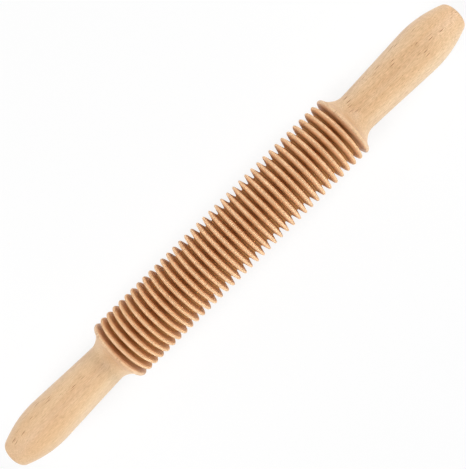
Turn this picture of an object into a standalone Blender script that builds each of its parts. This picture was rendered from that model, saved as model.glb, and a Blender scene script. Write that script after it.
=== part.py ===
"""Pasta cutter rolling pin, turned from beech.

A barrel of narrow cutting rings revolves on a steel axle between two fixed handles. The
pieces, from the middle outwards:

    cutter_barrel        the ringed beech barrel, bored through and recessed at both ends
    left_, right_bush    flanged bearing bushes pressed into the barrel's ends
    left_, right_thrust_washer    steel washers let into the handles, which the flanges run on
    axle_rod             steel rod, knurled at both ends, glued into the handles
    left_, right_handle  beech handles, each turned in one with its flare and its rim ring

Metres, +Z up. The pin lies along X with its middle at the origin, and its axis is the X axis.
Every outline below is a list of (place along the pin, radius) points. Places are measured
outwards from the middle of the pin.
"""

import math

import bmesh
import bpy
from mathutils import Matrix, Vector
from mathutils.geometry import interpolate_bezier

# Ringed barrel
RING_PITCH = 0.00435
BARREL_RING_COUNT = 36
CREST_RADIUS = 0.0181
ROOT_RADIUS = 0.0136
# Half of a ring's section, from the crest to the groove: a share of half the pitch along the
# pin, and a share of the groove's depth below the crest
RING_SECTION_SHARES = ((0.13, 0.0), (0.37, 0.23), (0.81, 1.0))

# Handle, with its length counted from the middle of its own rim ring to its end face
HANDLE_LENGTH = 0.0788
RIM_LIP_REACH = 0.0015
RIM_LIP_DROP = 0.0011
NECK_RADIUS = 0.01105
NECK_PLACE_SHARE = 0.1275
PALM_RADIUS = 0.01285
PALM_PLACE_SHARE = 0.689
END_FACE_RADIUS = 0.0059
END_ROUNDING = 0.0026
END_SLOPE_ANGLE = math.radians(22.5)
# How far each stretch of the outline keeps the direction of its two ends: shares of the
# stretch along the pin and across it, at its start and at its end
FLARE_PULL_SHARES = ((0.02, 0.26), (0.50, 0.0))
SWELL_PULL_SHARES = ((0.13, 0.0), (0.08, 0.0))
TAPER_PULL_SHARES = ((0.36, 0.0), (0.34, 0.66))
FLARE_STEPS = 5
SWELL_STEPS = 4
TAPER_STEPS = 4
ROUNDING_STEPS = 3

# Axle
AXLE_RADIUS = 0.004
AXLE_SEAT_DEPTH = 0.042
AXLE_CHAMFER = 0.0008
KNURL_LENGTH = 0.030
KNURL_DEPTH = 0.0003
KNURL_GROOVE_COUNT = 12
SOCKET_END_ROOM = 0.0015
DRILL_POINT_HALF_ANGLE = math.radians(59)

# Bearing bush and thrust washer
BUSH_WALL = 0.0022
BUSH_LENGTH = 0.014
BUSH_LEAD_IN = 0.0005
FLANGE_WIDTH = 0.0025
FLANGE_THICKNESS = 0.0015
WASHER_THICKNESS = 0.0012

# Clearances
SEAM_GAP = 0.0004
RUNNING_CLEARANCE = 0.0003
SEAT_CLEARANCE = 0.0003
BARREL_BORE_ROOM = 0.001
CUT_OVERRUN = 0.0003

# Flats around every turned piece; one of them faces straight down
FACET_COUNT = 24
HALF_FACET_ANGLE = math.pi / FACET_COUNT
# Radii are measured to the flats, so that the pin is as thick across its flats as it really is
FLATS_SHARE = 1 / math.cos(HALF_FACET_ANGLE)
SHARP_EDGE_ANGLE = math.radians(30)
MERGE_DISTANCE = 0.00001

# Places along the pin, outwards from its middle
SEAM_PLACE = BARREL_RING_COUNT * RING_PITCH / 2
RIM_PLACE = SEAM_PLACE + RING_PITCH / 2
END_PLACE = RIM_PLACE + HANDLE_LENGTH
BARREL_FACE = SEAM_PLACE - SEAM_GAP / 2
HANDLE_FACE = SEAM_PLACE + SEAM_GAP / 2
WASHER_BACK = SEAM_PLACE + WASHER_THICKNESS
WASHER_SEAT = WASHER_BACK + SEAT_CLEARANCE
FLANGE_FACE = SEAM_PLACE - RUNNING_CLEARANCE
FLANGE_BACK = FLANGE_FACE - FLANGE_THICKNESS
FLANGE_SEAT = FLANGE_BACK - SEAT_CLEARANCE
BUSH_END = FLANGE_FACE - BUSH_LENGTH
BUSH_SEAT = BUSH_END - SEAT_CLEARANCE
AXLE_END = HANDLE_FACE + AXLE_SEAT_DEPTH
SOCKET_END = AXLE_END + SOCKET_END_ROOM

# Radii that follow from the axle
BUSH_BORE_RADIUS = AXLE_RADIUS + RUNNING_CLEARANCE
BUSH_RADIUS = BUSH_BORE_RADIUS + BUSH_WALL
FLANGE_RADIUS = BUSH_RADIUS + FLANGE_WIDTH
RECESS_RADIUS = FLANGE_RADIUS + SEAT_CLEARANCE
BUSH_SEAT_RADIUS = BUSH_RADIUS + SEAT_CLEARANCE
BARREL_BORE_RADIUS = AXLE_RADIUS + BARREL_BORE_ROOM
SOCKET_RADIUS = AXLE_RADIUS + SEAT_CLEARANCE


def clear_scene():
    """Remove every object that the file opened with."""
    for item in list(bpy.data.objects):
        bpy.data.objects.remove(item, do_unlink=True)


def new_collection(name):
    """Return a new collection linked to the scene."""
    collection = bpy.data.collections.new(name)
    bpy.context.scene.collection.children.link(collection)
    return collection


def new_material(name, colour, roughness, metallic=0.0):
    """Return a Principled material of one linear colour."""
    material = bpy.data.materials.new(name)
    material.use_nodes = True
    material.diffuse_color = (*colour, 1.0)
    shader = material.node_tree.nodes["Principled BSDF"]
    shader.inputs["Base Color"].default_value = (*colour, 1.0)
    shader.inputs["Roughness"].default_value = roughness
    shader.inputs["Metallic"].default_value = metallic
    return material


def new_axis(name, parent=None):
    """Return an empty whose Z axis is the pin's own axis."""
    axis = bpy.data.objects.new(name, None)
    parts.objects.link(axis)
    axis.parent = parent
    return axis


def place(name, mesh, axis, collection, turned_round=False):
    """Put a mesh on an axis with a flat facing down, end for end if turned_round is set."""
    piece = bpy.data.objects.new(name, mesh)
    collection.objects.link(piece)
    piece.parent = axis
    flip = math.pi if turned_round else 0.0
    piece.rotation_euler = (flip, 0.0, HALF_FACET_ANGLE)
    return piece


def place_pair(name, mesh, axis):
    """Put the same mesh at both ends of the pin, the left one turned end for end."""
    place(f"right_{name}", mesh, axis, parts)
    place(f"left_{name}", mesh, axis, parts, turned_round=True)


def turn(name, outline, material, closed=False):
    """Turn an outline round the pin's axis into a mesh, as a lathe would.

    The outline runs down the outer side from its outermost point. An open one starts and
    ends on the axis, and a closed one goes round the section of a ring.
    """
    section = bpy.data.meshes.new(f"{name}_section")
    points = [(radius * FLATS_SHARE, 0.0, along) for along, radius in outline]
    edges = [(index, index + 1) for index in range(len(points) - 1)]
    if closed:
        edges.append((len(points) - 1, 0))
    section.from_pydata(points, edges, [])

    blank = bpy.data.objects.new(f"{name}_blank", section)
    bpy.context.scene.collection.objects.link(blank)
    lathe = blank.modifiers.new("lathe", "SCREW")
    lathe.axis = "Z"
    lathe.angle = math.tau
    lathe.steps = FACET_COUNT
    lathe.render_steps = FACET_COUNT
    lathe.use_merge_vertices = True
    lathe.merge_threshold = MERGE_DISTANCE

    turned = blank.evaluated_get(bpy.context.evaluated_depsgraph_get())
    mesh = bpy.data.meshes.new_from_object(turned)
    bpy.data.objects.remove(blank, do_unlink=True)
    bpy.data.meshes.remove(section)
    mesh.name = name
    mesh.shade_smooth()
    mesh.set_sharp_from_angle(angle=SHARP_EDGE_ANGLE)
    mesh.materials.append(material)
    return mesh


def blend(start, end, pull_shares, steps):
    """Return the points of one smooth stretch of an outline, without its first point."""
    along = end[0] - start[0]
    across = end[1] - start[1]
    (start_along, start_across), (end_along, end_across) = pull_shares
    knots = (
        start,
        (start[0] + start_along * along, start[1] + start_across * across),
        (end[0] - end_along * along, end[1] - end_across * across),
        end,
    )
    curve = interpolate_bezier(*(Vector((x, radius, 0.0)) for x, radius in knots), steps + 1)
    return [(point.x, point.y) for point in curve[1:]]


def half_ring():
    """Return half of a ring's section, from its crest to the groove, as (reach, radius)."""
    depth = CREST_RADIUS - ROOT_RADIUS
    return [
        (reach_share * RING_PITCH / 2, CREST_RADIUS - drop_share * depth)
        for reach_share, drop_share in RING_SECTION_SHARES
    ]


def ring(centre):
    """Return a whole ring's section, from its outer foot over the crest to its inner foot."""
    outer = [(centre + reach, radius) for reach, radius in reversed(half_ring())]
    inner = [(centre - reach, radius) for reach, radius in half_ring()]
    return outer + inner


def barrel_outline():
    """Return the barrel's section: the rings, then the stepped bore that holds the bushes."""
    outline = [(BARREL_FACE, ROOT_RADIUS)]
    for index in reversed(range(BARREL_RING_COUNT)):
        outline += ring((index + 0.5) * RING_PITCH - SEAM_PLACE)
    outline.append((-BARREL_FACE, ROOT_RADIUS))

    stepped_bore = [
        (BARREL_FACE, RECESS_RADIUS),
        (FLANGE_SEAT, RECESS_RADIUS),
        (FLANGE_SEAT, BUSH_SEAT_RADIUS),
        (BUSH_SEAT, BUSH_SEAT_RADIUS),
        (BUSH_SEAT, BARREL_BORE_RADIUS),
    ]
    outline += [(-along, radius) for along, radius in stepped_bore]
    outline += reversed(stepped_bore)
    return outline


def end_rounding():
    """Return the arc that rounds the handle's end, from its taper to its end face."""
    centre = END_PLACE - END_ROUNDING
    first_angle = math.pi / 2 - END_SLOPE_ANGLE
    angles = [first_angle * (1 - step / ROUNDING_STEPS) for step in range(ROUNDING_STEPS + 1)]
    return [
        (centre + END_ROUNDING * math.cos(angle), END_FACE_RADIUS + END_ROUNDING * math.sin(angle))
        for angle in angles
    ]


def handle_outline():
    """Return the handle's outline: end face, grip, flare, rim ring, seam face and socket."""
    lip = (RIM_PLACE + RIM_LIP_REACH, CREST_RADIUS - RIM_LIP_DROP)
    neck = (RIM_PLACE + NECK_PLACE_SHARE * HANDLE_LENGTH, NECK_RADIUS)
    palm = (RIM_PLACE + PALM_PLACE_SHARE * HANDLE_LENGTH, PALM_RADIUS)
    rounding = end_rounding()

    outward = [(HANDLE_FACE, ROOT_RADIUS)]
    outward += [(RIM_PLACE - reach, radius) for reach, radius in reversed(half_ring())]
    crest_reach, crest_radius = half_ring()[0]
    outward += [(RIM_PLACE + crest_reach, crest_radius), lip]
    outward += blend(lip, neck, FLARE_PULL_SHARES, FLARE_STEPS)
    outward += blend(neck, palm, SWELL_PULL_SHARES, SWELL_STEPS)
    outward += blend(palm, rounding[0], TAPER_PULL_SHARES, TAPER_STEPS)
    outward += rounding[1:]

    socket = [
        (HANDLE_FACE, RECESS_RADIUS),
        (WASHER_SEAT, RECESS_RADIUS),
        (WASHER_SEAT, SOCKET_RADIUS),
        (SOCKET_END, SOCKET_RADIUS),
        (SOCKET_END + SOCKET_RADIUS / math.tan(DRILL_POINT_HALF_ANGLE), 0.0),
    ]
    return [(END_PLACE, 0.0)] + outward[::-1] + socket


def bush_outline():
    """Return the section of a flanged bush, its flange outwards."""
    return [
        (FLANGE_FACE, BUSH_BORE_RADIUS),
        (FLANGE_FACE, FLANGE_RADIUS),
        (FLANGE_BACK, FLANGE_RADIUS),
        (FLANGE_BACK, BUSH_RADIUS),
        (BUSH_END + BUSH_LEAD_IN, BUSH_RADIUS),
        (BUSH_END, BUSH_RADIUS - BUSH_LEAD_IN),
        (BUSH_END, BUSH_BORE_RADIUS),
    ]


def washer_outline():
    """Return the section of a thrust washer, whose inner face is the seam's middle plane."""
    return [
        (WASHER_BACK, BUSH_BORE_RADIUS),
        (WASHER_BACK, FLANGE_RADIUS),
        (SEAM_PLACE, FLANGE_RADIUS),
        (SEAM_PLACE, BUSH_BORE_RADIUS),
    ]


def axle_outline():
    """Return the outline of the plain rod, chamfered at both ends."""
    upper = [
        (AXLE_END, 0.0),
        (AXLE_END, AXLE_RADIUS - AXLE_CHAMFER),
        (AXLE_END - AXLE_CHAMFER, AXLE_RADIUS),
    ]
    return upper + [(-along, radius) for along, radius in reversed(upper)]


def knurl_cutter():
    """Return a mesh of V-shaped bars, over every other flat at both ends of the axle.

    Each bar is a three-sided prism that stands on one edge, which points at the axis.
    """
    height = KNURL_DEPTH + CUT_OVERRUN
    corner_radius = height / (1 + math.cos(math.pi / 3))
    centre_radius = AXLE_RADIUS - KNURL_DEPTH + corner_radius
    length = KNURL_LENGTH + CUT_OVERRUN
    edge_inwards = Matrix.Rotation(math.pi / 2, 4, "Z")

    bars = bmesh.new()
    for end in (-1, 1):
        middle = end * (AXLE_END - KNURL_LENGTH + length / 2)
        outwards = Matrix.Translation((centre_radius, 0.0, middle))
        for groove in range(KNURL_GROOVE_COUNT):
            angle = groove * math.tau / KNURL_GROOVE_COUNT + HALF_FACET_ANGLE
            around = Matrix.Rotation(angle, 4, "Z")
            bmesh.ops.create_cone(
                bars,
                cap_ends=True,
                segments=3,
                radius1=corner_radius,
                radius2=corner_radius,
                depth=length,
                matrix=around @ outwards @ edge_inwards,
            )
    mesh = bpy.data.meshes.new("knurl_cutter")
    bars.to_mesh(mesh)
    bars.free()
    return mesh


def knurl(axle, axis):
    """Cut a straight knurl into both ends of the axle, where the handles grip it."""
    cutter = place("knurl_cutter", knurl_cutter(), axis, cutters)
    cutter.hide_render = True
    cutter.display_type = "WIRE"
    cut = axle.modifiers.new("knurl", "BOOLEAN")
    cut.operation = "DIFFERENCE"
    cut.solver = "EXACT"
    cut.object = cutter


clear_scene()
parts = new_collection("pasta_cutter_rolling_pin")
cutters = new_collection("cutters")

barrel_beech = new_material("barrel_beech", (0.62, 0.36, 0.18), 0.5)
handle_beech = new_material("handle_beech", (0.78, 0.55, 0.35), 0.45)
axle_steel = new_material("axle_steel", (0.62, 0.62, 0.63), 0.25, metallic=1.0)
bush_plastic = new_material("bush_plastic", (0.83, 0.82, 0.76), 0.4)
washer_steel = new_material("washer_steel", (0.55, 0.55, 0.56), 0.35, metallic=1.0)

pin_axis = new_axis("pin_axis")
pin_axis.rotation_euler = (0.0, math.pi / 2, 0.0)
spin_axis = new_axis("spin_axis", parent=pin_axis)

# The pieces that revolve
barrel = turn("cutter_barrel", barrel_outline(), barrel_beech, closed=True)
bush = turn("bush", bush_outline(), bush_plastic, closed=True)
place("cutter_barrel", barrel, spin_axis, parts)
place_pair("bush", bush, spin_axis)

# The pieces that the hands hold still
washer = turn("thrust_washer", washer_outline(), washer_steel, closed=True)
handle = turn("handle", handle_outline(), handle_beech)
rod = turn("axle_rod", axle_outline(), axle_steel)
place_pair("thrust_washer", washer, pin_axis)
place_pair("handle", handle, pin_axis)
knurl(place("axle_rod", rod, pin_axis, parts), pin_axis)
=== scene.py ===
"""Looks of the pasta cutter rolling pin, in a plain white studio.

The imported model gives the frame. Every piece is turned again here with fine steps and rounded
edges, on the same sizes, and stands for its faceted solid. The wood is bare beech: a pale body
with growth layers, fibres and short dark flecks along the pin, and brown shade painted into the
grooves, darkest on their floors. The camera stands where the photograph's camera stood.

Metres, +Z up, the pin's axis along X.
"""

import logging
import math
from dataclasses import dataclass
from enum import Enum

import bmesh
import bpy
from mathutils import Matrix, Vector
from mathutils.geometry import interpolate_bezier


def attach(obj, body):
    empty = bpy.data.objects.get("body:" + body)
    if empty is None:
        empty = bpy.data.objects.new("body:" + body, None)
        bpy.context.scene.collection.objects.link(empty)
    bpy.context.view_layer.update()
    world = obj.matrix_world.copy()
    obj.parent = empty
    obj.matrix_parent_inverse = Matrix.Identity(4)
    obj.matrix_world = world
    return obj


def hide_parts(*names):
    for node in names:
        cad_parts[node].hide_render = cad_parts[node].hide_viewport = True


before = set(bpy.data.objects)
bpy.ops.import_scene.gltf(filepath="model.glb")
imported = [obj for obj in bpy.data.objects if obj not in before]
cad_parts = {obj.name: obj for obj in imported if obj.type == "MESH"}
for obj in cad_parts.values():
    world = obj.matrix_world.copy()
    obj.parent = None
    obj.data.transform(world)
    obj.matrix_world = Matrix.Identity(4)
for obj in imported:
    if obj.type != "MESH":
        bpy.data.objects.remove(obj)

logging.basicConfig(level=logging.INFO, format="%(name)s: %(message)s")
log = logging.getLogger("pasta_cutter_rolling_pin")

Point = tuple[float, float]
Pull = tuple[float, float]
Place = tuple[float, float, float]
Size = tuple[float, float, float]
Tint = tuple[float, float, float]
Colour = tuple[float, float, float, float]
Socket = bpy.types.NodeSocket
Sockets = bpy.types.bpy_prop_collection
Value = Socket | float | tuple[float, ...]
Inputs = dict[str | int, Value]

WHITE: Colour = (1.0, 1.0, 1.0, 1.0)
ACROSS: Place = (0.0, 1.0, 1.0)


def srgb(*screen: int) -> Colour:
    """Turn a colour as a screen shows it into a linear one, by the sRGB curve.

    Args:
        *screen: Red, green and blue on the screen, 0 to 255.

    Returns:
        The linear colour with full alpha.
    """
    linear = []
    for value in screen:
        share = value / 255
        linear.append(share / 12.92 if share <= 0.04045 else ((share + 0.055) / 1.055) ** 2.4)
    return (*linear, 1.0)


class PinEnd(Enum):
    """The two ends of the pin, by the sign of X."""

    LEFT = -1
    RIGHT = 1

    def node(self, piece: str) -> str:
        """Return the name of this end's copy of a piece."""
        return f"{self.name.lower()}_{piece}"


class Body(Enum):
    """The bodies that the pieces ride on."""

    GRIP = "grip"
    ROLLER = "roller"


class Slot(Enum):
    """The record's material slots."""

    BARREL = "barrel_beech"
    HANDLE = "handle_beech"
    AXLE = "axle_steel"
    BUSH = "bush_plastic"
    WASHER = "washer_steel"


class Kind(Enum):
    """The kinds of socket that a node group has."""

    COLOUR = "NodeSocketColor"
    NUMBER = "NodeSocketFloat"
    VECTOR = "NodeSocketVector"


class Mixing(Enum):
    """The ways in which one colour is laid over another."""

    COVER = "MIX"
    MULTIPLY = "MULTIPLY"


@dataclass(frozen=True)
class PinSizes:
    """The sizes that the pieces share, as in the solids."""

    ring_pitch: float = 0.00435
    barrel_rings: int = 36
    crest_radius: float = 0.0181
    root_radius: float = 0.0136
    axle_radius: float = 0.004
    running_clearance: float = 0.0003
    seat_clearance: float = 0.0003
    seam_gap: float = 0.0001
    washer_thickness: float = 0.0012
    bush_wall: float = 0.0022
    bush_length: float = 0.014
    flange_width: float = 0.0025
    flange_thickness: float = 0.0015

    @property
    def seam(self) -> float:
        """Place of the seam between the barrel and a handle."""
        return self.barrel_rings * self.ring_pitch / 2

    @property
    def rim(self) -> float:
        """Place of a handle's rim ring."""
        return self.seam + self.ring_pitch / 2

    @property
    def barrel_face(self) -> float:
        """Place of the barrel's end face."""
        return self.seam - self.seam_gap / 2

    @property
    def handle_face(self) -> float:
        """Place of a handle's inner face."""
        return self.seam + self.seam_gap / 2

    @property
    def flange_face(self) -> float:
        """Place of a bush's flange, where it runs on the washer."""
        return self.seam - self.running_clearance

    @property
    def flange_back(self) -> float:
        """Place of the flange's back face."""
        return self.flange_face - self.flange_thickness

    @property
    def bush_end(self) -> float:
        """Place of the sleeve's inner end."""
        return self.flange_face - self.bush_length

    @property
    def washer_back(self) -> float:
        """Place of a washer's back face."""
        return self.seam + self.washer_thickness

    @property
    def bearing_radius(self) -> float:
        """Radius of the bore of a bush and of a washer."""
        return self.axle_radius + self.running_clearance

    @property
    def bush_radius(self) -> float:
        """Outer radius of a bush's sleeve."""
        return self.bearing_radius + self.bush_wall

    @property
    def flange_radius(self) -> float:
        """Outer radius of a bush's flange and of a washer."""
        return self.bush_radius + self.flange_width

    @property
    def recess_radius(self) -> float:
        """Radius of the recesses that take the flange and the washer."""
        return self.flange_radius + self.seat_clearance


@dataclass(frozen=True)
class Bend:
    """A smooth curve that joins two points of an outline.

    A pull says how far the curve holds its first or last direction, as shares of the way.
    """

    start_pull: Pull
    end_pull: Pull
    steps: int

    def join(self, start: Point, end: Point) -> list[Point]:
        """Work out the curve in straight steps.

        Args:
            start: The curve's first point.
            end: The curve's last point.

        Returns:
            The points after the first one.
        """
        along = end[0] - start[0]
        across = end[1] - start[1]
        knots = (
            start,
            (start[0] + self.start_pull[0] * along, start[1] + self.start_pull[1] * across),
            (end[0] - self.end_pull[0] * along, end[1] - self.end_pull[1] * across),
            end,
        )
        curve = interpolate_bezier(*(Vector((x, radius, 0.0)) for x, radius in knots), self.steps + 1)
        return [(point.x, point.y) for point in curve[1:]]


@dataclass(frozen=True)
class RingSection:
    """Half of a cutting ring's section, from its rounded crest into the groove.

    The points are pairs of shares: of half the pitch, from the ring's middle, and of the
    groove's depth, down from the crest.
    """

    shoulder: Point = (0.37, 0.23)
    flank_end: Point = (0.74, 0.86)
    crest_bend: Bend = Bend((0.55, 0.0), (0.10, 0.55), 5)
    cove_bend: Bend = Bend((0.25, 0.60), (0.65, 0.0), 3)

    def half(self, sizes: PinSizes) -> list[Point]:
        """Work out half of the section.

        Args:
            sizes: The pin's shared sizes.

        Returns:
            Points of (reach from the ring's middle, radius), crest first, groove floor last.
        """
        crest = (0.0, sizes.crest_radius)
        floor = (sizes.ring_pitch / 2, sizes.root_radius)
        shoulder = self._real(self.shoulder, sizes)
        flank_end = self._real(self.flank_end, sizes)
        upper = self.crest_bend.join(crest, shoulder)
        lower = self.cove_bend.join(flank_end, floor)
        return [crest, *upper, flank_end, *lower]

    def _real(self, shares: Point, sizes: PinSizes) -> Point:
        """Turn a pair of shares into a reach and a radius."""
        depth = sizes.crest_radius - sizes.root_radius
        return (shares[0] * sizes.ring_pitch / 2, sizes.crest_radius - shares[1] * depth)


@dataclass(frozen=True)
class Lathe:
    """Turns outlines of (place along X, radius) points round the X axis."""

    steps: int
    smooth_angle: float = math.radians(40)
    merge_distance: float = 0.000001

    def turn(self, name: str, outline: list[Point], closed: bool, end: PinEnd) -> bpy.types.Object:
        """Turn an outline into a mesh object at the origin.

        Args:
            name: The new object's name.
            outline: Points outwards from the pin's middle, either a ring's whole section or
                a line that starts and ends on the axis.
            closed: Whether the outline is a ring's section.
            end: The end of the pin that the piece belongs to.

        Returns:
            The new object, linked to the scene.
        """
        work = bmesh.new()
        points = [work.verts.new((end.value * x, 0.0, radius)) for x, radius in outline]
        edges = [work.edges.new(pair) for pair in zip(points, points[1:])]
        if closed:
            edges.append(work.edges.new((points[-1], points[0])))
        bmesh.ops.spin(
            work,
            geom=points + edges,
            cent=(0.0, 0.0, 0.0),
            axis=(1.0, 0.0, 0.0),
            angle=math.tau,
            steps=self.steps,
            use_merge=True,
        )
        bmesh.ops.remove_doubles(work, verts=work.verts, dist=self.merge_distance)
        bmesh.ops.recalc_face_normals(work, faces=work.faces)
        mesh = bpy.data.meshes.new(name)
        work.to_mesh(mesh)
        work.free()
        mesh.shade_smooth()
        mesh.set_sharp_from_angle(angle=self.smooth_angle)
        piece = bpy.data.objects.new(name, mesh)
        bpy.context.scene.collection.objects.link(piece)
        return piece


@dataclass(frozen=True)
class Noise:
    """Noise whose features have a real size along X, Y and Z."""

    feature: Size
    detail: float = 2.0


@dataclass(frozen=True)
class Scatter:
    """Long thin flecks, one in each cell of a grid and each with a strength of its own.

    Spacing is a cell's size along X, Y and Z. Reach is half a fleck's size, as a share of its
    cell. Rarity is the power that makes strong flecks rare.
    """

    spacing: Size
    reach: float
    rarity: float


class Graph:
    """Adds and joins the nodes of one node tree.

    A Mix node has sockets of its own for each kind of data, and the MIX numbers are those of
    its sockets for colours.
    """

    COLUMN_WIDTH = 190
    MIX_SHARE = 0
    MIX_FIRST = 6
    MIX_SECOND = 7
    MIX_RESULT = 2

    def __init__(self, tree: bpy.types.NodeTree) -> None:
        """Start on a tree.

        Args:
            tree: The tree, which is emptied.
        """
        self.tree = tree
        self.tree.nodes.clear()
        self.column = 0

    def add(
        self, kind: str, name: str, values: Inputs | None = None, **settings: object
    ) -> bpy.types.Node:
        """Add a node.

        Args:
            kind: The node's Blender type.
            name: The name and label that the node gets.
            values: What its inputs get, as for feed.
            **settings: Properties to set on the node.

        Returns:
            The new node.
        """
        node = self.tree.nodes.new(kind)
        node.name = name
        node.label = name
        node.location = (self.column * self.COLUMN_WIDTH, 0)
        self.column += 1
        for key, value in settings.items():
            setattr(node, key, value)
        self.feed(node, values or {})
        return node

    def feed(self, node: bpy.types.Node, values: Inputs) -> None:
        """Feed a node's inputs.

        Args:
            node: The node.
            values: What each input gets, by its name or number: the output that it is linked
                to, or a plain value.
        """
        for key, value in values.items():
            if isinstance(value, Socket):
                self.tree.links.new(value, node.inputs[key])
            else:
                node.inputs[key].default_value = value

    def number(self, operation: str, name: str, *values: Value) -> Socket:
        """Do arithmetic on up to three numbers."""
        node = self.add("ShaderNodeMath", name, dict(enumerate(values)), operation=operation)
        return node.outputs[0]

    def vector(self, operation: str, name: str, *values: Value) -> Sockets:
        """Do arithmetic on up to three vectors, and return the result's Vector and Value."""
        node = self.add("ShaderNodeVectorMath", name, dict(enumerate(values)), operation=operation)
        return node.outputs

    def scaled(self, name: str, vector: Value, factor: Value) -> Socket:
        """Multiply a vector or a colour by a number."""
        inputs = {0: vector, "Scale": factor}
        return self.add("ShaderNodeVectorMath", name, inputs, operation="SCALE").outputs["Vector"]

    def swing(self, name: str, noise: Socket, share: float) -> Socket:
        """Turn noise into a factor about 1 that swings up and down by a share."""
        return self.number("MULTIPLY_ADD", f"{name} swing", noise, 2 * share, 1.0 - share)

    def split(self, name: str, vector: Socket) -> Sockets:
        """Split a vector into its X, Y and Z."""
        return self.add("ShaderNodeSeparateXYZ", name, {0: vector}).outputs

    def fade(self, name: str, value: Socket, from_one: Value, to_zero: Value) -> Socket:
        """Make a smooth mask.

        Args:
            name: The node's name.
            value: What is measured.
            from_one: Where the mask is still 1.
            to_zero: Where the mask has come down to 0.

        Returns:
            The mask.
        """
        inputs = {"Value": value, "From Min": from_one, "From Max": to_zero, "To Min": 1.0, "To Max": 0.0}
        node = self.add("ShaderNodeMapRange", name, inputs, interpolation_type="SMOOTHSTEP")
        return node.outputs["Result"]

    def mix(
        self, name: str, share: Value, first: Value, second: Value, mixing: Mixing = Mixing.COVER
    ) -> Socket:
        """Lay one colour over another.

        Args:
            name: The node's name.
            share: How much of the second colour is used, 0 to 1.
            first: The first colour.
            second: The second colour.
            mixing: How the second colour is laid over the first.

        Returns:
            The mixed colour.
        """
        inputs = {self.MIX_SHARE: share, self.MIX_FIRST: first, self.MIX_SECOND: second}
        node = self.add("ShaderNodeMix", name, inputs, data_type="RGBA", blend_type=mixing.value)
        return node.outputs[self.MIX_RESULT]

    def noise(self, name: str, place: Socket, noise: Noise) -> Socket:
        """Make noise.

        Args:
            name: The node's name.
            place: Coordinates in metres.
            noise: The size and the detail of its features.

        Returns:
            The noise, 0 to 1.
        """
        scaled = self.vector("DIVIDE", f"{name} size", place, noise.feature)["Vector"]
        inputs = {"Vector": scaled, "Scale": 1.0, "Detail": noise.detail}
        return self.add("ShaderNodeTexNoise", name, inputs).outputs["Fac"]

    def flecks(self, name: str, place: Socket, scatter: Scatter) -> Socket:
        """Strew flecks. Each is whole out to a third of its reach, and fades from there.

        Args:
            name: The nodes' name.
            place: Coordinates in metres.
            scatter: How the flecks are strewn.

        Returns:
            The flecks' strength, 0 to 1.
        """
        scaled = self.vector("DIVIDE", f"{name} spacing", place, scatter.spacing)["Vector"]
        inputs = {"Vector": scaled, "Scale": 1.0}
        cells = self.add("ShaderNodeTexVoronoi", name, inputs, feature="F1").outputs
        core = self.fade(f"{name} core", cells["Distance"], scatter.reach / 3, scatter.reach)
        own = self.add("ShaderNodeSeparateColor", f"{name} own strength", {0: cells["Color"]}).outputs
        strength = self.number("POWER", f"{name} rarity", own[0], scatter.rarity)
        return self.number("MULTIPLY", f"{name} strength", core, strength)


class Group(Graph):
    """The graph of a node group, with what it is given and what it puts out."""

    def __init__(
        self, name: str, given: dict[Kind, tuple[str, ...]], result: dict[Kind, tuple[str, ...]]
    ) -> None:
        """Open the group.

        Args:
            name: The group's name.
            given: The inputs' names, for each kind.
            result: The outputs' names, for each kind.
        """
        super().__init__(bpy.data.node_groups.new(name, "ShaderNodeTree"))
        for in_out, kinds in (("INPUT", given), ("OUTPUT", result)):
            for kind, labels in kinds.items():
                for label in labels:
                    self.tree.interface.new_socket(name=label, in_out=in_out, socket_type=kind.value)
        self.given = self.add("NodeGroupInput", "in").outputs
        self.result = self.add("NodeGroupOutput", "out")


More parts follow.
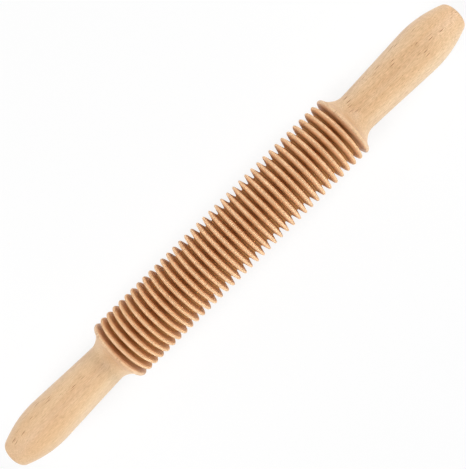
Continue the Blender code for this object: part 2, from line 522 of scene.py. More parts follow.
@dataclass(frozen=True)
class BeechFigure:
    """The figure of turned beech.

    The wood is one block with its fibres along X and the tree's heart below it, so the growth
    layers are wide arcs about a line under the block. The rays are thin sheets that stand
    across the layers: where the surface lies along the layers they show as short dark flecks,
    and where it crosses the layers, as broad flakes that are barely darker.
    """

    heart_depth: float = 0.07
    layer_width: float = 0.0022
    sway: Noise = Noise((0.09, 0.02, 0.02), 1.0)
    sway_depth: float = 0.006
    late_wood_power: float = 3.0
    broad_tone: Noise = Noise((0.05, 0.009, 0.009))
    broad_warm: float = 0.72
    broad_pale: float = 0.28
    streak: Noise = Noise((0.07, 0.0014, 0.0014))
    streak_swing: float = 0.02
    fibre: Noise = Noise((0.0026, 0.00034, 0.00034), 3.0)
    warming: Tint = (1.0, 1.25, 1.6)
    clusters: Noise = Noise((0.03, 0.007, 0.007), 1.0)
    cluster_full: float = 0.56
    cluster_gone: float = 0.40
    rays: Scatter = Scatter((0.0070, 0.00066, 0.0075), 0.35, 1.3)
    flakes: Scatter = Scatter((0.0050, 0.0007, 0.0055), 0.45, 1.0)
    flake_strength: float = 0.10
    pores: Scatter = Scatter((0.0026, 0.00048, 0.00048), 0.26, 1.5)
    speckle: Noise = Noise((0.0004, 0.0004, 0.0004))
    speckle_swing: float = 0.3
    end_warmth: float = 0.3
    base_height: float = 0.3
    fibre_height: float = 0.4
    fleck_height: float = -0.15
    fibre_roughness: float = 0.12
    fleck_roughness: float = 0.15

    def tree(self) -> bpy.types.NodeTree:
        """Build the node group.

        Returns:
            The group, with a colour, a height and a roughness that change over the surface.
        """
        group = Group(
            "beech_figure",
            {
                Kind.VECTOR: ("Vector", "Normal"),
                Kind.COLOUR: ("Pale", "Warm", "Fleck"),
                Kind.NUMBER: ("Layers", "Fibres", "Flecks", "Pores", "End Grain", "Roughness"),
            },
            {Kind.COLOUR: ("Color",), Kind.NUMBER: ("Height", "Roughness")},
        )
        given = group.given
        fibre = group.noise("fibre", given["Vector"], self.fibre)
        tone = self._tone(group, fibre)
        dark = self._dark_marks(group)
        flecked = group.mix("flecked", dark, tone, given["Fleck"])
        colour = group.mix("grain", given["End Grain"], flecked, self._open_end(group, tone))
        height = group.number("MULTIPLY_ADD", "fibre height", fibre, self.fibre_height, self.base_height)
        height = group.number("MULTIPLY_ADD", "height", dark, self.fleck_height, height)
        rough = group.number(
            "MULTIPLY_ADD", "fibre roughness", fibre, self.fibre_roughness, given["Roughness"]
        )
        rough = group.number("MULTIPLY_ADD", "roughness", dark, self.fleck_roughness, rough)
        group.feed(group.result, {"Color": colour, "Height": height, "Roughness": rough})
        return group.tree

    def _late_wood(self, group: Group) -> Socket:
        """Build the growth layers.

        Args:
            group: The figure's graph.

        Returns:
            How much late wood shows, from 0 up to the strength that the layers are given.
        """
        place = group.given["Vector"]
        heart = (0.0, 0.0, self.heart_depth)
        from_heart = group.vector("ADD", "from the heart", place, heart)["Vector"]
        across = group.vector("MULTIPLY", "across the fibres", from_heart, ACROSS)["Vector"]
        depth = group.vector("LENGTH", "depth", across)["Value"]
        sway = group.noise("layer sway", place, self.sway)
        depth = group.number("MULTIPLY_ADD", "swaying depth", sway, self.sway_depth, depth)
        layers = group.number("DIVIDE", "layers", depth, self.layer_width)
        layer = group.number("FRACT", "place in layer", layers)
        late = group.number("POWER", "late wood", layer, self.late_wood_power)
        return group.number("MULTIPLY", "late wood shown", late, group.given["Layers"])

    def _tone(self, group: Group, fibre: Socket) -> Socket:
        """Build the colour of the wood without its flecks.

        Args:
            group: The figure's graph.
            fibre: The fibres' noise.

        Returns:
            The colour, which is warmer where the streaks and fibres darken it.
        """
        given = group.given
        broad = group.noise("broad tone", given["Vector"], self.broad_tone)
        broad = group.fade("broad tone spread", broad, self.broad_warm, self.broad_pale)
        tone = group.mix("tone", broad, given["Pale"], given["Warm"])
        late = self._late_wood(group)
        tone = group.mix("late wood tone", late, tone, given["Warm"], Mixing.MULTIPLY)

        streak = group.noise("streak", given["Vector"], self.streak)
        light = group.swing("streak", streak, self.streak_swing)
        fibre_swing = group.number("MULTIPLY", "fibre about its middle", given["Fibres"], 2.0)
        fibre_low = group.number("SUBTRACT", "darkest fibre", 1.0, given["Fibres"])
        fibre_light = group.number("MULTIPLY_ADD", "fibre light", fibre, fibre_swing, fibre_low)
        light = group.number("MULTIPLY", "wood light", light, fibre_light)
        rest = tuple(1.0 - share for share in self.warming)
        warmer = group.vector("MULTIPLY_ADD", "warmer as it darkens", light, self.warming, rest)
        return group.vector("MULTIPLY", "lit tone", tone, warmer["Vector"])["Vector"]

    def _dark_marks(self, group: Group) -> Socket:
        """Build the flecks and flakes of the rays, and the pores.

        Args:
            group: The figure's graph.

        Returns:
            How dark the marks are. There are none on end grain.
        """
        given = group.given
        place = given["Vector"]
        upward = group.split("facing the bark", given["Normal"])["Z"]
        flat = group.number("MULTIPLY", "flat grain", upward, upward)
        upright = group.number("SUBTRACT", "upright grain", 1.0, flat)
        side = group.number("SUBTRACT", "side grain", 1.0, given["End Grain"])

        cluster = group.noise("where rays gather", place, self.clusters)
        cluster = group.fade("ray clusters", cluster, self.cluster_full, self.cluster_gone)
        rays = group.flecks("rays", place, self.rays)
        rays = group.number("MULTIPLY", "gathered rays", rays, cluster)
        rays = group.number("MULTIPLY", "rays on flat grain", rays, flat)
        flakes = group.flecks("flakes", place, self.flakes)
        flakes = group.number("MULTIPLY", "flakes on upright grain", flakes, upright)
        flakes = group.number("MULTIPLY", "flakes shown", flakes, self.flake_strength)
        pores = group.flecks("pores", place, self.pores)
        pores = group.number("MULTIPLY", "pores shown", pores, given["Pores"])

        dark = group.number("MAXIMUM", "rays and flakes", rays, flakes)
        dark = group.number("MAXIMUM", "rays, flakes and pores", dark, pores)
        dark = group.number("MULTIPLY", "flecks shown", dark, given["Flecks"])
        return group.number("MULTIPLY", "flecks on side grain", dark, side)

    def _open_end(self, group: Group, tone: Socket) -> Socket:
        """Build the speckled colour of end grain.

        Args:
            group: The figure's graph.
            tone: The colour of the wood without its flecks.

        Returns:
            The colour.
        """
        given = group.given
        speckle = group.noise("end grain speckle", given["Vector"], self.speckle)
        light = group.swing("speckle", speckle, self.speckle_swing)
        warm = group.mix("end grain tone", self.end_warmth, tone, given["Warm"], Mixing.MULTIPLY)
        return group.scaled("open end", warm, light)


@dataclass(frozen=True)
class PaintedGrooveShade:
    """Masks of the shade painted into the grooves, and of the ringed part's tone.

    The rim sizes are how far past a rim ring's middle the ringed part's tone still holds, and
    how far past it the tone is gone.
    """

    wander: Noise = Noise((0.002, 0.004, 0.004))
    wander_depth: float = 0.0012
    rim_toned: float = 0.0004
    rim_clear: float = 0.0018

    def tree(self) -> bpy.types.NodeTree:
        """Build the node group.

        Returns:
            The group. Groove is 1 on a groove's floor and 0 on a ring's crest, and says where shade is
            painted. Rings is 1 from one rim of the ringed part to the other, and 0 on the handles.
        """
        group = Group(
            "groove_painted_shade",
            {Kind.VECTOR: ("Vector",), Kind.NUMBER: ("Floor Radius", "Clear Radius", "Reach")},
            {Kind.NUMBER: ("Groove", "Rings")},
        )
        given = group.given
        place = given["Vector"]
        across = group.vector("MULTIPLY", "across the pin", place, ACROSS)["Vector"]
        radius = group.vector("LENGTH", "radius", across)["Value"]
        # The upper edge of the painted groove shade wanders a little.
        wander = group.noise("painted shade edge", place, self.wander)
        wander = group.number("SUBTRACT", "edge centred", wander, 0.5)
        radius = group.number("MULTIPLY_ADD", "wandering radius", wander, self.wander_depth, radius)
        # Painted shade: full on a groove's floor, fading out up the flanks by the clear radius.
        low = group.fade("groove", radius, given["Floor Radius"], given["Clear Radius"])

        along = group.split("along", place)["X"]
        distance = group.number("ABSOLUTE", "from the middle", along)
        toned = group.number("ADD", "past the rim", given["Reach"], self.rim_toned)
        clear = group.number("ADD", "past the rim's crest", given["Reach"], self.rim_clear)
        inside = group.fade("between the rims", distance, given["Reach"], toned)
        groove = group.number("MULTIPLY", "groove between rims", low, inside)
        rings = group.fade("ringed part", distance, toned, clear)
        group.feed(group.result, {"Groove": groove, "Rings": rings})
        return group.tree


class SharedEffects:
    """The node groups that every beech material places, each built once."""

    def __init__(self) -> None:
        """Build the groups."""
        self.figure = BeechFigure().tree()
        # The group that paints shade into the grooves.
        self.painted_groove_shade = PaintedGrooveShade().tree()


class Paint(Graph):
    """The graph of a material, with its Principled shader and the object's coordinates."""

    def __init__(self, name: str) -> None:
        """Open a material.

        Args:
            name: The material's name.
        """
        self.material = bpy.data.materials.new(name)
        self.material.use_nodes = True
        super().__init__(self.material.node_tree)
        self.surface = self.add("ShaderNodeBsdfPrincipled", "surface")
        self.add("ShaderNodeOutputMaterial", "output", {"Surface": self.surface.outputs["BSDF"]})
        self.where = self.add("ShaderNodeTexCoord", "where").outputs

    def effect(self, tree: bpy.types.NodeTree, values: Inputs) -> Sockets:
        """Place a shared effect with its inputs, and return what it puts out."""
        return self.add("ShaderNodeGroup", tree.name, values, node_tree=tree).outputs

    def relief(self, height: Socket, depth: float) -> Socket:
        """Turn a height into a normal, for relief of the given depth in metres."""
        return self.add("ShaderNodeBump", "relief", {"Height": height, "Distance": depth}).outputs[0]

    def finish(self, values: Inputs) -> bpy.types.Material:
        """Feed the Principled shader and return the material."""
        self.feed(self.surface, values)
        return self.material


@dataclass(frozen=True)
class BeechFinish:
    """Bare turned beech, with a tone of its own on the ringed part and shade painted into the grooves.

    The block's shift and turn say where in the wood the piece was cut. Gloss and fuzz are what
    a bare turned surface gives off, and the clear radius is where the painted groove shade ends.
    """

    name: str
    block_shift: Place
    block_turn: float
    fibres: float
    flecks: float
    pores: float
    layers: float = 0.10
    pale: Colour = srgb(226, 189, 148)
    warm: Colour = srgb(220, 178, 134)
    fleck: Colour = srgb(144, 68, 6)
    # The dark brown that is painted into the grooves as shade.
    painted_groove_shade: Colour = srgb(191, 133, 77)
    ring_tone: Colour = (1.19, 1.16, 1.19, 1.0)
    side_grain_to: float = 0.55
    end_grain_from: float = 0.98
    roughness: float = 0.46
    gloss: float = 0.42
    fuzz: float = 0.20
    fuzz_roughness: float = 0.5
    relief: float = 0.00006
    clear_radius: float = 0.0178

    def material(self, effects: SharedEffects, sizes: PinSizes) -> bpy.types.Material:
        """Build the material.

        Args:
            effects: The shared node groups.
            sizes: The pin's shared sizes, which say where the grooves are.

        Returns:
            The material.
        """
        paint = Paint(self.name)
        place = paint.where["Object"]
        normal = paint.where["Normal"]
        facing = paint.split("facing", normal)["X"]
        along = paint.number("ABSOLUTE", "facing along the fibres", facing)
        side_grain = paint.fade("side grain", along, self.side_grain_to, self.end_grain_from)
        figure = paint.effect(
            effects.figure,
            {
                "Vector": self._in_block(paint, "place in the block", place, self.block_shift),
                "Normal": self._in_block(paint, "normal in the block", normal, (0.0, 0.0, 0.0)),
                "Pale": self.pale,
                "Warm": self.warm,
                "Fleck": self.fleck,
                "Layers": self.layers,
                "Fibres": self.fibres,
                "Flecks": self.flecks,
                "Pores": self.pores,
                "End Grain": paint.number("SUBTRACT", "end grain", 1.0, side_grain),
                "Roughness": self.roughness,
            },
        )
        # Masks of where shade is painted into the grooves, and of the ringed part.
        groove_shade_masks = paint.effect(
            effects.painted_groove_shade,
            {
                "Vector": place,
                "Floor Radius": sizes.root_radius,
                "Clear Radius": self.clear_radius,
                "Reach": sizes.rim,
            },
        )
        colour = paint.mix(
            "rings toned", groove_shade_masks["Rings"], figure["Color"], self.ring_tone, Mixing.MULTIPLY
        )
        # Painted shade: the groove floors and lower flanks take the dark brown painted-shade colour.
        colour = paint.mix("grooves painted with shade", groove_shade_masks["Groove"], colour, self.painted_groove_shade)
        return paint.finish(
            {
                "Base Color": colour,
                "Roughness": figure["Roughness"],
                "Specular IOR Level": self.gloss,
                "Sheen Weight": self.fuzz,
                "Sheen Roughness": self.fuzz_roughness,
                "Normal": paint.relief(figure["Height"], self.relief),
            }
        )

    def _in_block(self, paint: Paint, name: str, vector: Socket, shift: Place) -> Socket:
        """Turn a vector about the fibres into the wood block's own directions, and shift it."""
        inputs = {"Vector": vector, "Location": shift, "Rotation": (self.block_turn, 0.0, 0.0)}
        return paint.add("ShaderNodeMapping", name, inputs).outputs["Vector"]


@dataclass(frozen=True)
class SteelFinish:
    """Bright steel with fine lines, drawn along the pin or turned round it."""

    name: str
    colour: Colour
    roughness: float
    lines: Noise
    stain: Noise = Noise((0.012, 0.006, 0.006), 3.0)
    line_roughness: float = 0.15
    stain_roughness: float = 0.08
    line_shade: float = 0.12
    relief: float = 0.000004

    def material(self) -> bpy.types.Material:
        """Build the material.

        Returns:
            The material.
        """
        paint = Paint(self.name)
        lines = paint.noise("lines", paint.where["Object"], self.lines)
        stain = paint.noise("stain", paint.where["Object"], self.stain)
        rough = paint.number("MULTIPLY_ADD", "line roughness", lines, self.line_roughness, self.roughness)
        rough = paint.number("MULTIPLY_ADD", "roughness", stain, self.stain_roughness, rough)
        shade = paint.number("MULTIPLY_ADD", "line shade", lines, self.line_shade, 1.0 - self.line_shade)
        return paint.finish(
            {
                "Base Color": paint.scaled("tone", self.colour[:3], shade),
                "Metallic": 1.0,
                "Roughness": rough,
                "Normal": paint.relief(lines, self.relief),
            }
        )


@dataclass(frozen=True)
class PlasticFinish:
    """Moulded bearing plastic, off-white and slightly mottled."""

    name: str
    colour: Colour
    shade: Colour
    mottle: Noise = Noise((0.004, 0.004, 0.004), 3.0)
    mottle_roughness: float = 0.14
    roughness: float = 0.38
    mark_spacing: float = 0.0003
    mark_patches: Noise = Noise((0.012, 0.02, 0.02), 1.0)
    relief: float = 0.00001

    def material(self) -> bpy.types.Material:
        """Build the material.

        Returns:
            The material.
        """
        paint = Paint(self.name)
        mottle = paint.noise("mottle", paint.where["Object"], self.mottle)
        return paint.finish(
            {
                "Base Color": paint.mix("tone", mottle, self.colour, self.shade),
                "Roughness": paint.number(
                    "MULTIPLY_ADD", "roughness", mottle, self.mottle_roughness, self.roughness
                ),
                "Normal": paint.relief(self._turning_marks(paint), self.relief),
            }
        )

    def _turning_marks(self, paint: Paint) -> Socket:
        """Build the fine rings that a turning tool leaves round the bush.

        Args:
            paint: The material's graph.

        Returns:
            Their height.
        """
        place = paint.where["Object"]
        along = paint.split("along", place)["X"]
        count = paint.number("DIVIDE", "mark count", along, self.mark_spacing)
        wave = paint.number("SINE", "marks", paint.number("MULTIPLY", "turns", count, math.tau))
        patches = paint.noise("where marks show", place, self.mark_patches)
        return paint.number("MULTIPLY", "mark height", wave, patches)


@dataclass(frozen=True)
class Eased:
    """Rounds the sharp edges of a hard piece."""

    width: float
    segments: int = 2
    sharp_angle: float = math.radians(40)

    def apply(self, piece: bpy.types.Object) -> None:
        """Bevel every edge that turns by more than the sharp angle.

        Args:
            piece: The piece, whose mesh is changed.
        """
        work = bmesh.new()
        work.from_mesh(piece.data)
        sharp = [edge for edge in work.edges if edge.calc_face_angle(0.0) > self.sharp_angle]
        bmesh.ops.bevel(
            work,
            geom=sharp,
            offset=self.width,
            offset_type="OFFSET",
            affect="EDGES",
            segments=self.segments,
            profile=0.5,
            material=-1,
            clamp_overlap=True,
        )
        work.to_mesh(piece.data)
        work.free()
        piece.data.shade_smooth()
        piece.data.set_sharp_from_angle(angle=self.sharp_angle)


def dress(
    piece: bpy.types.Object, material: bpy.types.Material, body: Body, node: str
) -> None:
    """Give a finished piece its material, attach it to the body that it rides on, and hide the solid that
    it stands for.

    Args:
        piece: The finished piece.
        material: Its material.
        body: The body that it moves with.
        node: The solid that it stands for.
    """
    piece.data.materials.append(material)
    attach(piece, body.value)
    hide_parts(node)
    log.info("%s: %d faces on %s", piece.name, len(piece.data.polygons), body.value)


@dataclass(frozen=True)
class CutterBarrel:
    """The ringed barrel, bored through and recessed at both ends for the bushes."""

    sizes: PinSizes
    section: RingSection
    lathe: Lathe = Lathe(steps=144)
    bore_room: float = 0.001

    def outline(self) -> list[Point]:
        """Work out the barrel's section.

        Returns:
            Its points, from the right face along the rings and back inside.
        """
        sizes = self.sizes
        half = self.section.half(sizes)
        points = [(sizes.barrel_face, sizes.root_radius)]
        for index in reversed(range(sizes.barrel_rings)):
            middle = (index + 0.5) * sizes.ring_pitch - sizes.seam
            ring = [(middle + reach, radius) for reach, radius in reversed(half)]
            ring += [(middle - reach, radius) for reach, radius in half[1:]]
            points += [point for point in ring if abs(point[0]) < sizes.barrel_face]
        points.append((-sizes.barrel_face, sizes.root_radius))
        bore = self._stepped_bore()
        points += [(-along, radius) for along, radius in bore]
        points += reversed(bore)
        return points

    def _stepped_bore(self) -> list[Point]:
        """Work out the right half of the stepped bore.

        Returns:
            Its points, from its mouth inwards.
        """
        sizes = self.sizes
        flange_seat = sizes.flange_back - sizes.seat_clearance
        bush_seat = sizes.bush_end - sizes.seat_clearance
        sleeve_radius = sizes.bush_radius + sizes.seat_clearance
        return [
            (sizes.barrel_face, sizes.recess_radius),
            (flange_seat, sizes.recess_radius),
            (flange_seat, sleeve_radius),
            (bush_seat, sleeve_radius),
            (bush_seat, sizes.axle_radius + self.bore_room),
        ]

    def build(self, material: bpy.types.Material) -> None:
        """Turn and dress the barrel."""
        piece = self.lathe.turn("ringed_barrel", self.outline(), True, PinEnd.RIGHT)
        dress(piece, material, Body.ROLLER, "cutter_barrel")


@dataclass(frozen=True)
class Handle:
    """A handle with its flare, rim ring, washer recess and axle socket.

    The lip is how far the flare's edge lies past the rim ring's crest, along and down. Neck
    and palm are the thinnest and the thickest place, as a share of the length and a radius.
    """

    sizes: PinSizes
    section: RingSection
    lathe: Lathe = Lathe(steps=128)
    length: float = 0.0788
    lip: Point = (0.0015, 0.0011)
    neck: Point = (0.1275, 0.01105)
    palm: Point = (0.689, 0.01285)
    lip_bend: Bend = Bend((0.5, 0.0), (0.12, 0.5), 6)
    flare_bend: Bend = Bend((0.02, 0.26), (0.50, 0.0), 16)
    swell_bend: Bend = Bend((0.13, 0.0), (0.08, 0.0), 16)
    taper_bend: Bend = Bend((0.36, 0.0), (0.34, 0.66), 16)
    end_face_radius: float = 0.0059
    end_rounding: float = 0.0026
    end_slope: float = math.radians(22.5)
    end_steps: int = 8
    socket_depth: float = 0.0435
    drill_half_angle: float = math.radians(59)

    def outline(self) -> list[Point]:
        """Work out the handle's outline.

        Returns:
            Its points, from the middle of the end face over the rim and into the socket.
        """
        sizes = self.sizes
        lip = (sizes.rim + self.lip[0], sizes.crest_radius - self.lip[1])
        neck = (sizes.rim + self.neck[0] * self.length, self.neck[1])
        palm = (sizes.rim + self.palm[0] * self.length, self.palm[1])
        end_face = sizes.rim + self.length
        rounding = self._rounding()
        rim = [(sizes.rim - reach, radius) for reach, radius in reversed(self.section.half(sizes))]

        outward = [(sizes.handle_face, sizes.root_radius)]
        outward += [point for point in rim if point[0] > sizes.handle_face]
        outward += self.lip_bend.join(rim[-1], lip)
        outward += self.flare_bend.join(lip, neck)
        outward += self.swell_bend.join(neck, palm)
        outward += self.taper_bend.join(palm, rounding[0])
        outward += rounding[1:]
        outward += [(end_face, self.end_face_radius / 2), (end_face, 0.0)]
        return outward[::-1] + self._socket()

    def _rounding(self) -> list[Point]:
        """Work out the arc between the handle's taper and its end face.

        Returns:
            Its points, from the taper inwards.
        """
        middle = self.sizes.rim + self.length - self.end_rounding
        first = math.pi / 2 - self.end_slope
        angles = [first * (1 - step / self.end_steps) for step in range(self.end_steps + 1)]
        return [
            (
                middle + self.end_rounding * math.cos(angle),
                self.end_face_radius + self.end_rounding * math.sin(angle),
            )
            for angle in angles
        ]

    def _socket(self) -> list[Point]:
        """Work out the washer's recess and the drilled socket for the axle.

        Returns:
            Its points, from its mouth to the drill's tip.
        """
        sizes = self.sizes
        washer_seat = sizes.washer_back + sizes.seat_clearance
        radius = sizes.axle_radius + sizes.seat_clearance
        bottom = sizes.handle_face + self.socket_depth
        return [
            (sizes.handle_face, sizes.recess_radius),
            (washer_seat, sizes.recess_radius),
            (washer_seat, radius),
            (bottom, radius),
            (bottom + radius / math.tan(self.drill_half_angle), 0.0),
        ]

    def build(self, end: PinEnd, material: bpy.types.Material) -> None:
        """Turn and dress the handle of one end."""
        piece = self.lathe.turn(end.node("turned_handle"), self.outline(), False, end)
        dress(piece, material, Body.GRIP, end.node("handle"))


@dataclass(frozen=True)
class Bearing:
    """The hidden running gear: axle, flanged bushes and thrust washers."""

    sizes: PinSizes
    lathe: Lathe = Lathe(steps=96)
    edges: Eased = Eased(width=0.0002)
    seat_depth: float = 0.042
    axle_chamfer: float = 0.0008
    knurl_length: float = 0.030
    knurl_depth: float = 0.0003
    knurl_grooves: int = 12

    def build_axle(self, material: bpy.types.Material) -> None:
        """Turn the axle, press its knurl and dress it.

        Args:
            material: Its finish.
        """
        radius = self.sizes.axle_radius
        tip = self.sizes.handle_face + self.seat_depth
        knurl_start = tip - self.knurl_length
        right = [
            (tip, 0.0),
            (tip, radius - self.axle_chamfer),
            (tip - self.axle_chamfer, radius),
            (knurl_start, radius),
            (knurl_start - self.knurl_depth, radius),
        ]
        outline = right + [(-along, radius) for along, radius in reversed(right)]
        piece = self.lathe.turn("knurled_axle", outline, False, PinEnd.RIGHT)
        for vertex in piece.data.vertices:
            if abs(vertex.co.x) >= knurl_start:
                self._press_knurl(vertex)
        dress(piece, material, Body.GRIP, "axle_rod")

    def _press_knurl(self, vertex: bpy.types.MeshVertex) -> None:
        """Sink a vertex by the depth that the straight knurl has at its angle.

        Args:
            vertex: A vertex of a knurled end. One in the middle of the end face stays.
        """
        radius = math.hypot(vertex.co.y, vertex.co.z)
        if radius < self.sizes.axle_radius / 2:
            return
        grooves_passed = math.atan2(vertex.co.z, vertex.co.y) / math.tau * self.knurl_grooves
        sink = self.knurl_depth * max(0.0, math.cos(grooves_passed * math.tau)) ** 2
        vertex.co.y *= 1 - sink / radius
        vertex.co.z *= 1 - sink / radius

    def build_bush(self, end: PinEnd, material: bpy.types.Material) -> None:
        """Turn, ease and dress the bush of one end.

        Args:
            end: The end of the pin.
            material: Its finish.
        """
        sizes = self.sizes
        outline = [
            (sizes.flange_face, sizes.bearing_radius),
            (sizes.flange_face, sizes.flange_radius),
            (sizes.flange_back, sizes.flange_radius),
            (sizes.flange_back, sizes.bush_radius),
            (sizes.bush_end, sizes.bush_radius),
            (sizes.bush_end, sizes.bearing_radius),
        ]
        piece = self.lathe.turn(end.node("flanged_bush"), outline, True, end)
        self.edges.apply(piece)
        dress(piece, material, Body.ROLLER, end.node("bush"))

    def build_washer(self, end: PinEnd, material: bpy.types.Material) -> None:
        """Turn, ease and dress the thrust washer of one end.

        Args:
            end: The end of the pin.
            material: Its finish.
        """
        sizes = self.sizes
        outline = [
            (sizes.washer_back, sizes.bearing_radius),
            (sizes.washer_back, sizes.flange_radius),
            (sizes.seam, sizes.flange_radius),
            (sizes.seam, sizes.bearing_radius),
        ]
        piece = self.lathe.turn(end.node("steel_washer"), outline, True, end)
        self.edges.apply(piece)
        dress(piece, material, Body.GRIP, end.node("thrust_washer"))


@dataclass(frozen=True)
class PhotoCamera:
    """The photograph's camera, found from the spacing of the rings and the outline."""

    image_height: int = 469
    focal_pixels: float = 748.4
    sensor: float = 36.0
    nearest: float = 0.01
    distance: float = 0.38343
    middle_along: float = -0.00251
    middle_across: float = 0.00073
    lean: float = 0.04634
    roll: float = math.radians(45.06)

    def place(self) -> None:
        """Add the camera, above the pin and looking down on it.

        The right end of the pin leans towards the camera, and the pin runs from the lower left
        of the picture to its upper right.
        """
        data = bpy.data.cameras.new("photo_camera")
        data.sensor_fit = "VERTICAL"
        data.sensor_height = self.sensor
        data.lens = self.focal_pixels / self.image_height * self.sensor
        data.clip_start = self.nearest
        camera = bpy.data.objects.new("photo_camera", data)
        bpy.context.scene.collection.objects.link(camera)

        along = Vector((math.cos(self.lean), 0.0, -math.sin(self.lean)))
        across = Vector((0.0, -1.0, 0.0))
        forward = Vector((-math.sin(self.lean), 0.0, -math.cos(self.lean)))
        right = math.cos(self.roll) * along + math.sin(self.roll) * across
        up = math.sin(self.roll) * along - math.cos(self.roll) * across
        turned = Matrix((right, up, -forward)).transposed()
        offset = self.middle_along * along + self.middle_across * across
        camera.matrix_world = turned.to_4x4()
        camera.location = -(offset + self.distance * forward)
        bpy.context.scene.camera = camera


@dataclass(frozen=True)
class Lamp:
    """A soft rectangular lamp that faces the pin, with its power in watts."""

    name: str
    place: Place
    width: float
    height: float
    power: float
    tint: Tint = (1.0, 1.0, 1.0)

    def hang(self) -> None:
        """Add the lamp to the scene."""
        data = bpy.data.lights.new(self.name, "AREA")
        data.shape = "RECTANGLE"
        data.size = self.width
        data.size_y = self.height
        data.energy = self.power
        data.color = self.tint
        lamp = bpy.data.objects.new(self.name, data)
        lamp.location = self.place
        lamp.rotation_euler = (-Vector(self.place)).to_track_quat("-Z", "Y").to_euler()
        bpy.context.scene.collection.objects.link(lamp)


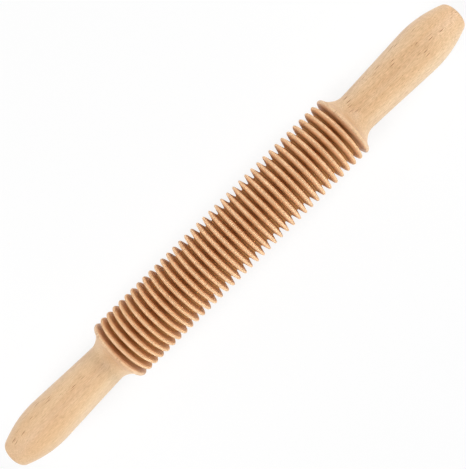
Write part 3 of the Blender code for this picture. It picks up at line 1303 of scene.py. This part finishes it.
@dataclass(frozen=True)
class Studio:
    """White floor, white surround and soft lamps.

    The two low lamps at the sides light the grooves down the pin's sides, and are a little
    cooler than the rest. Those past the pin's ends light the crests from above, and the rings'
    flanks keep them out of the grooves. Two weak lamps higher up at the sides reach the groove
    floors on top.

    The floor is white to the eye. Near the pin a share of it is lit paper, which keeps the
    pin's shadow: the whole share as far out as shadow_full, and none past shadow_gone.
    """

    sizes: PinSizes
    floor_size: float = 6.0
    all_round: float = 0.03
    shadow_share: float = 0.15
    shadow_full: float = 0.17
    shadow_gone: float = 0.35
    paper_seen: float = 1.0
    paper_lit: float = 0.92
    lamps: tuple[Lamp, ...] = (
        Lamp("near_side", (0.0, -0.90, 0.022), 0.40, 0.06, 4.6, tint=(0.88, 1.05, 1.12)),
        Lamp("far_side", (0.0, 0.90, 0.022), 0.40, 0.06, 2.0, tint=(0.88, 1.05, 1.15)),
        Lamp("near_high", (0.0, -0.737, 0.516), 0.40, 0.30, 0.2),
        Lamp("far_high", (0.0, 0.737, 0.516), 0.40, 0.30, 0.6),
        Lamp("left_end", (-0.755, 0.0, 0.49), 0.40, 0.30, 2.0),
        Lamp("left_high", (-0.50, 0.0, 0.748), 0.40, 0.30, 3.5),
        Lamp("right_end", (0.755, 0.0, 0.49), 0.40, 0.30, 5.5),
    )

    def build(self) -> None:
        """Build the whole studio."""
        self._surround()
        self._floor()
        for lamp in self.lamps:
            lamp.hang()
        bpy.context.scene.view_settings.view_transform = "Standard"

    def _white_to_the_eye(self, graph: Graph) -> Socket:
        """Tell the rays that see the white backdrop itself from those that light the pin.

        Args:
            graph: The graph of the surround or of the floor.

        Returns:
            A mask that is 1 for a ray from the camera, off a glossy surface or through glass.
        """
        rays = graph.add("ShaderNodeLightPath", "ray").outputs
        seen = graph.number("MAXIMUM", "camera or gloss", rays["Is Camera Ray"], rays["Is Glossy Ray"])
        return graph.number("MAXIMUM", "or through glass", seen, rays["Is Transmission Ray"])

    def _surround(self) -> None:
        """Light the pin a little from all round, and show as white."""
        world = bpy.data.worlds.new("white_surround")
        world.use_nodes = True
        graph = Graph(world.node_tree)
        seen = self._white_to_the_eye(graph)
        strength = graph.number("MAXIMUM", "white to the eye, or light given", seen, self.all_round)
        inputs = {"Color": WHITE, "Strength": strength}
        background = graph.add("ShaderNodeBackground", "background", inputs).outputs[0]
        graph.add("ShaderNodeOutputWorld", "output", {"Surface": background})
        bpy.context.scene.world = world

    def _floor(self) -> None:
        """Lay a white floor under the pin that keeps a faint shadow."""
        work = bmesh.new()
        bmesh.ops.create_grid(work, x_segments=1, y_segments=1, size=self.floor_size / 2)
        bmesh.ops.translate(work, verts=work.verts, vec=(0.0, 0.0, -self.sizes.crest_radius))
        mesh = bpy.data.meshes.new("studio_floor")
        work.to_mesh(mesh)
        work.free()
        floor = bpy.data.objects.new("studio_floor", mesh)
        bpy.context.scene.collection.objects.link(floor)
        floor.data.materials.append(self._white_paper())

    def _white_paper(self) -> bpy.types.Material:
        """Build the floor's material.

        Returns:
            The material, plain white with a share of lit paper near the pin.
        """
        material = bpy.data.materials.new("white_floor")
        material.use_nodes = True
        graph = Graph(material.node_tree)
        seen = self._white_to_the_eye(graph)
        tone = graph.number(
            "MULTIPLY_ADD", "paper tone", seen, self.paper_seen - self.paper_lit, self.paper_lit
        )
        where = graph.add("ShaderNodeTexCoord", "where").outputs
        away = graph.vector("LENGTH", "away from the pin", where["Object"])["Value"]
        near = graph.fade("near the pin", away, self.shadow_full, self.shadow_gone)
        kept = graph.number("MULTIPLY_ADD", "white kept", near, -self.shadow_share, 1.0)
        share = graph.number("MULTIPLY", "white share", seen, kept)
        paper = graph.add("ShaderNodeBsdfDiffuse", "paper", {"Color": tone}).outputs[0]
        white = graph.add("ShaderNodeEmission", "white", {"Strength": 1.0}).outputs[0]
        both = graph.add("ShaderNodeMixShader", "paper and white", {0: share, 1: paper, 2: white})
        graph.add("ShaderNodeOutputMaterial", "output", {"Surface": both.outputs[0]})
        return material


def main() -> None:
    """Build the studio and dress the pin, piece by piece."""
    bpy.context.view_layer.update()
    sizes = PinSizes()
    section = RingSection()
    effects = SharedEffects()

    PhotoCamera().place()
    Studio(sizes).build()

    barrel_beech = BeechFinish(
        name="barrel_beech",
        block_shift=(0.02, 0.011, 0.006),
        block_turn=math.radians(20),
        fibres=0.17,
        flecks=0.5,
        pores=0.35,
        gloss=0.04,
        fuzz=0.04,
    )
    CutterBarrel(sizes, section).build(barrel_beech.material(effects, sizes))

    handle_beech = {
        PinEnd.LEFT: BeechFinish(
            name=PinEnd.LEFT.node("handle_beech"),
            block_shift=(0.31, 0.017, 0.004),
            block_turn=math.radians(40),
            fibres=0.26,
            flecks=1.15,
            pores=0.4,
            ring_tone=(1.07, 1.04, 1.06, 1.0),
        ),
        PinEnd.RIGHT: BeechFinish(
            name=PinEnd.RIGHT.node("handle_beech"),
            block_shift=(0.07, 0.029, 0.011),
            block_turn=math.radians(18),
            fibres=0.38,
            flecks=1.7,
            pores=0.5,
            ring_tone=(1.03, 1.02, 1.04, 1.0),
        ),
    }
    handle = Handle(sizes, section)
    for end, finish in handle_beech.items():
        handle.build(end, finish.material(effects, sizes))

    drawn_steel = SteelFinish(
        name="axle_steel",
        colour=srgb(205, 205, 208),
        roughness=0.22,
        lines=Noise((0.03, 0.00012, 0.00012), 3.0),
    )
    turned_steel = SteelFinish(
        name="washer_steel",
        colour=srgb(196, 196, 200),
        roughness=0.3,
        lines=Noise((0.0001, 0.004, 0.004), 3.0),
    )
    bush_plastic = PlasticFinish(
        name="bush_plastic", colour=srgb(232, 230, 220), shade=srgb(222, 218, 204)
    )
    bearing = Bearing(sizes)
    bearing.build_axle(drawn_steel.material())
    bush_material = bush_plastic.material()
    washer_material = turned_steel.material()
    for end in PinEnd:
        bearing.build_bush(end, bush_material)
        bearing.build_washer(end, washer_material)


if __name__ == "__main__":
    main()
